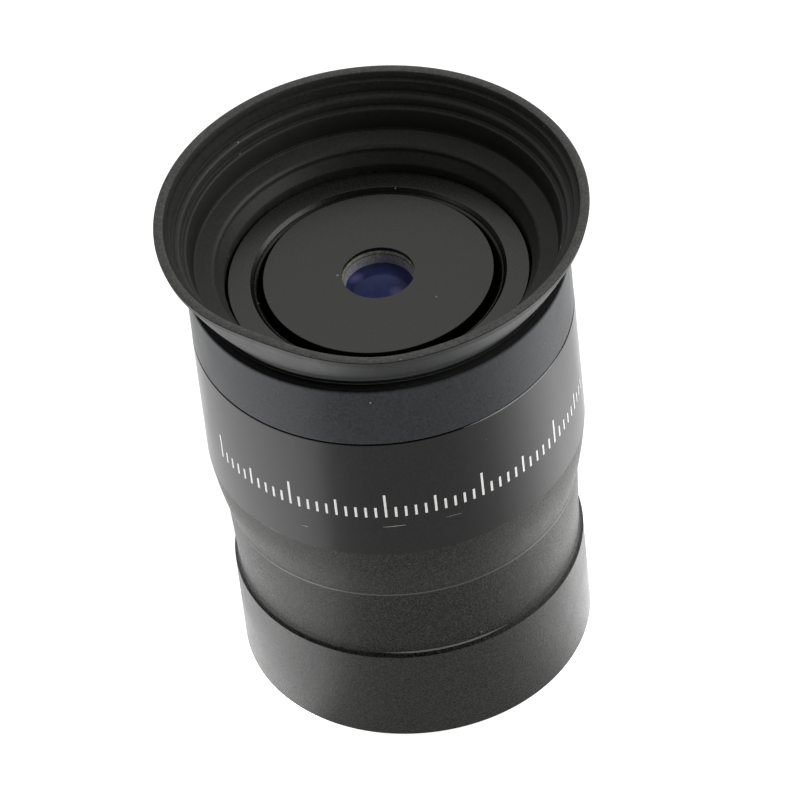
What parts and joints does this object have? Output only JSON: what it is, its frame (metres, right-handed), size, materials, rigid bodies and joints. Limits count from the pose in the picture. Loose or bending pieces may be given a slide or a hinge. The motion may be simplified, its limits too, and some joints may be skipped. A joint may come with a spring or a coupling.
{
  "type": "telescope eyepiece",
  "caption": "Short-focus telescope eyepiece: push-fit nosepiece with a safety undercut, round black housing, small coated eye lens in a flat face plate, and a flared fold-down rubber eyecup.",
  "frame": {"origin": "centre of the nosepiece's open end", "axes": "+Z along the optical axis towards the eye; the part is turned about Z, so X and Y are free"},
  "size_m": [0.0384, 0.0384, 0.0498],
  "materials": {
    "blasted_anodised": "bead-blasted black anodised",
    "satin_anodised": "smooth satin black anodised",
    "grey_anodised": "flat dark grey anodised",
    "inner_anodised": "matte black anodised",
    "coated_glass": "polished, blue-violet antireflection coating",
    "eyecup_rubber": "semi-matte moulded"
  },
  "bodies": {
    "housing": {"main_body": "blasted_anodised", "housing_sleeve": "satin_anodised", "clamp_ring": "grey_anodised", "eye_plate": "grey_anodised", "lens_cell": "inner_anodised", "eye_flint": "coated_glass", "eye_crown": "coated_glass", "lens_spacer": "inner_anodised", "field_crown": "coated_glass", "field_flint": "coated_glass", "field_stop": "inner_anodised", "cell_retaining_ring": "inner_anodised"},
    "nose": {"nosepiece": "blasted_anodised"},
    "cup": {"eyecup_base": "eyecup_rubber", "eyecup_skirt": "eyecup_rubber"},
    "rim": {"eyecup_lip": "eyecup_rubber"}
  },
  "joints": [
    {"name": "nosepiece_unscrew", "type": "hinge", "parent": "housing", "child": "nose", "pos_m": [0, 0, 0.021], "axis": [0, 0, -1], "range_deg": [0, 360]},
    {"name": "eyecup_turn", "type": "hinge", "parent": "housing", "child": "cup", "pos_m": [0, 0, 0.041], "axis": [0, 0, 1], "continuous": true},
    {"name": "eyecup_fold", "type": "slide", "parent": "cup", "child": "rim", "axis": [0, 0, -1], "range_m": [0, 0.0028], "stiffness_N_per_m": 200, "deforming": ["eyecup_skirt"]}
  ]
}
